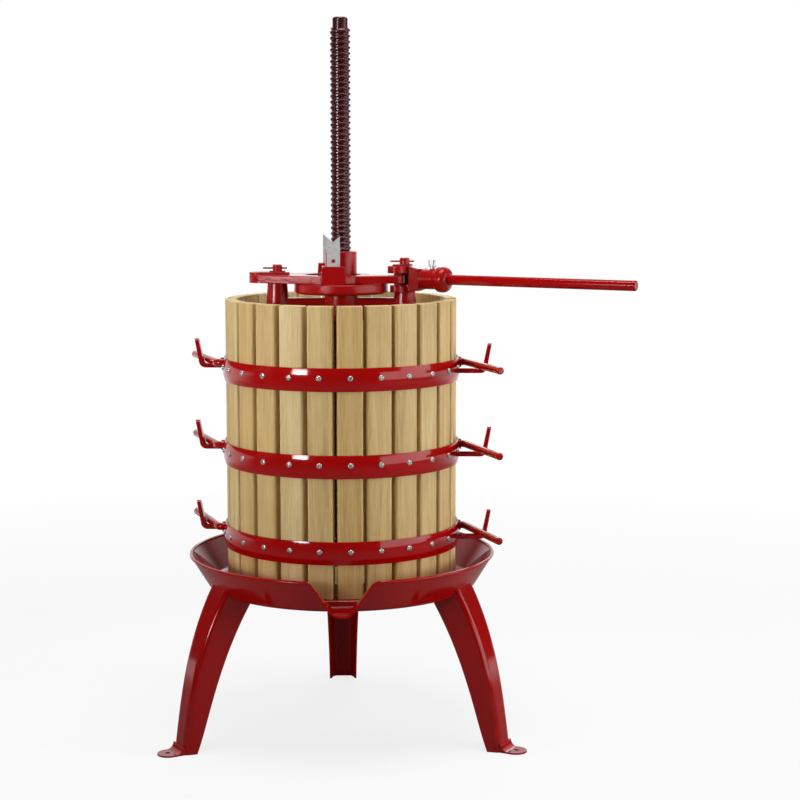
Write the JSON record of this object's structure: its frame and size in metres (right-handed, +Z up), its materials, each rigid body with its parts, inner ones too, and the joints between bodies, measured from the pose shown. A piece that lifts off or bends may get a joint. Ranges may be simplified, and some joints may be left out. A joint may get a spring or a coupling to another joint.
{
  "type": "ratchet fruit press",
  "caption": "Red ratchet fruit press with a slatted wooden basket in hinged hoops, a spouted tray on tripod legs, a central screw and a swinging ratchet handle.",
  "frame": {"origin": "on the ground, on the axis of the screw, midway between the three feet", "axes": "+Z up along the screw; the spout points to -Y; the handle socket stands towards +X"},
  "size_m": [0.8193, 0.6458, 1.272],
  "materials": {
    "red_sheet": "gloss",
    "red_cast": "gloss",
    "dark_screw": "gloss",
    "zinc": "satin",
    "beech": "satin"
  },
  "bodies": {
    "base": {"screw": "dark_screw", "screw_nut": "zinc", "tray": "red_sheet", "leg_rear": "red_sheet", "leg_left": "red_sheet", "leg_right": "red_sheet", "leg_bolts": "zinc", "front_stave_01": "beech", "front_stave_02": "beech", "front_stave_03": "beech", "front_stave_04": "beech", "front_stave_05": "beech", "front_stave_06": "beech", "front_stave_07": "beech", "front_stave_08": "beech", "front_stave_09": "beech", "front_stave_10": "beech", "front_stave_11": "beech", "front_stave_12": "beech", "rear_stave_01": "beech", "rear_stave_02": "beech", "rear_stave_03": "beech", "rear_stave_04": "beech", "rear_stave_05": "beech", "rear_stave_06": "beech", "rear_stave_07": "beech", "rear_stave_08": "beech", "rear_stave_09": "beech", "rear_stave_10": "beech", "rear_stave_11": "beech", "rear_stave_12": "beech", "front_hoop_bottom": "red_sheet", "front_hoop_middle": "red_sheet", "front_hoop_top": "red_sheet", "rear_hoop_bottom": "red_sheet", "rear_hoop_middle": "red_sheet", "rear_hoop_top": "red_sheet", "front_hooks": "red_cast", "rear_hooks": "red_cast"},
    "head": {"presser_foot": "red_cast", "guide_pin": "red_cast", "pivot_pin": "red_cast", "pin_washers": "red_cast", "cotter_pins": "red_cast"},
    "wheel": {"ratchet_wheel": "red_cast"},
    "swing": {"lever_socket": "red_cast", "link_pin": "red_cast"},
    "frame": {"ratchet_frame": "red_cast"},
    "dog_front": {"front_dog": "zinc"},
    "dog_rear": {"rear_dog": "zinc"},
    "handle": {"handle_bar": "red_cast"},
    "wing": {"wing_screw": "zinc"},
    "boards": {"pressing_boards": "beech"},
    "right_lever_bottom_arm": {"right_lever_bottom": "red_cast"},
    "right_lever_middle_arm": {"right_lever_middle": "red_cast"},
    "right_lever_top_arm": {"right_lever_top": "red_cast"},
    "left_lever_bottom_arm": {"left_lever_bottom": "red_cast"},
    "left_lever_middle_arm": {"left_lever_middle": "red_cast"},
    "left_lever_top_arm": {"left_lever_top": "red_cast"}
  },
  "joints": [
    {"name": "head_travel", "type": "slide", "parent": "base", "child": "head", "axis": [0, 0, 1], "range_m": [-0.005, 0.35]},
    {"name": "wheel_turn", "type": "hinge", "parent": "head", "child": "wheel", "pos_m": [0, 0, 0.8], "axis": [0, 0, 1], "range_deg": [-180, 12590]},
    {"name": "handle_swing", "type": "hinge", "parent": "head", "child": "swing", "pos_m": [0.113, 0, 0.8153], "axis": [0, 0, 1], "range_deg": [-10, 70]},
    {"name": "frame_slide", "type": "slide", "parent": "head", "child": "frame", "axis": [1, 0, 0], "range_m": [-0.005, 0.0325]},
    {"name": "front_dog_lift", "type": "slide", "parent": "frame", "child": "dog_front", "axis": [0, 0, 1], "range_m": [0, 0.04]},
    {"name": "rear_dog_lift", "type": "slide", "parent": "frame", "child": "dog_rear", "axis": [0, 0, 1], "range_m": [0, 0.04]},
    {"name": "handle_pull", "type": "slide", "parent": "swing", "child": "handle", "axis": [0.866, -0.5, 0], "range_m": [0, 0.04]},
    {"name": "wing_turn", "type": "hinge", "parent": "swing", "child": "wing", "pos_m": [0.1615, -0.028, 0.84], "axis": [0, 0, 1], "range_deg": [-180, 180]},
    {"name": "boards_lift", "type": "slide", "parent": "base", "child": "boards", "axis": [0, 0, 1], "range_m": [0, 0.4]},
    {"name": "right_bottom_lever_lift", "type": "hinge", "parent": "base", "child": "right_lever_bottom_arm", "pos_m": [0.22163, 0.0024, 0.3686], "axis": [-0.9986, 0.0523, 0], "range_deg": [0, 90]},
    {"name": "right_middle_lever_lift", "type": "hinge", "parent": "base", "child": "right_lever_middle_arm", "pos_m": [0.22163, 0.0024, 0.5171], "axis": [-0.9986, 0.0523, 0], "range_deg": [0, 90]},
    {"name": "right_top_lever_lift", "type": "hinge", "parent": "base", "child": "right_lever_top_arm", "pos_m": [0.22163, 0.0024, 0.6656], "axis": [-0.9986, 0.0523, 0], "range_deg": [0, 90]},
    {"name": "left_bottom_lever_lift", "type": "hinge", "parent": "base", "child": "left_lever_bottom_arm", "pos_m": [-0.22163, -0.0024, 0.3686], "axis": [0.9986, -0.0523, 0], "range_deg": [0, 90]},
    {"name": "left_middle_lever_lift", "type": "hinge", "parent": "base", "child": "left_lever_middle_arm", "pos_m": [-0.22163, -0.0024, 0.5171], "axis": [0.9986, -0.0523, 0], "range_deg": [0, 90]},
    {"name": "left_top_lever_lift", "type": "hinge", "parent": "base", "child": "left_lever_top_arm", "pos_m": [-0.22163, -0.0024, 0.6656], "axis": [0.9986, -0.0523, 0], "range_deg": [0, 90]}
  ],
  "couplings": [
    {"joint": "head_travel", "follows": "wheel_turn", "m_per_rad": 0.0015915},
    {"joint": "frame_slide", "follows": "handle_swing", "m_per_rad": 0.026191}
  ]
}
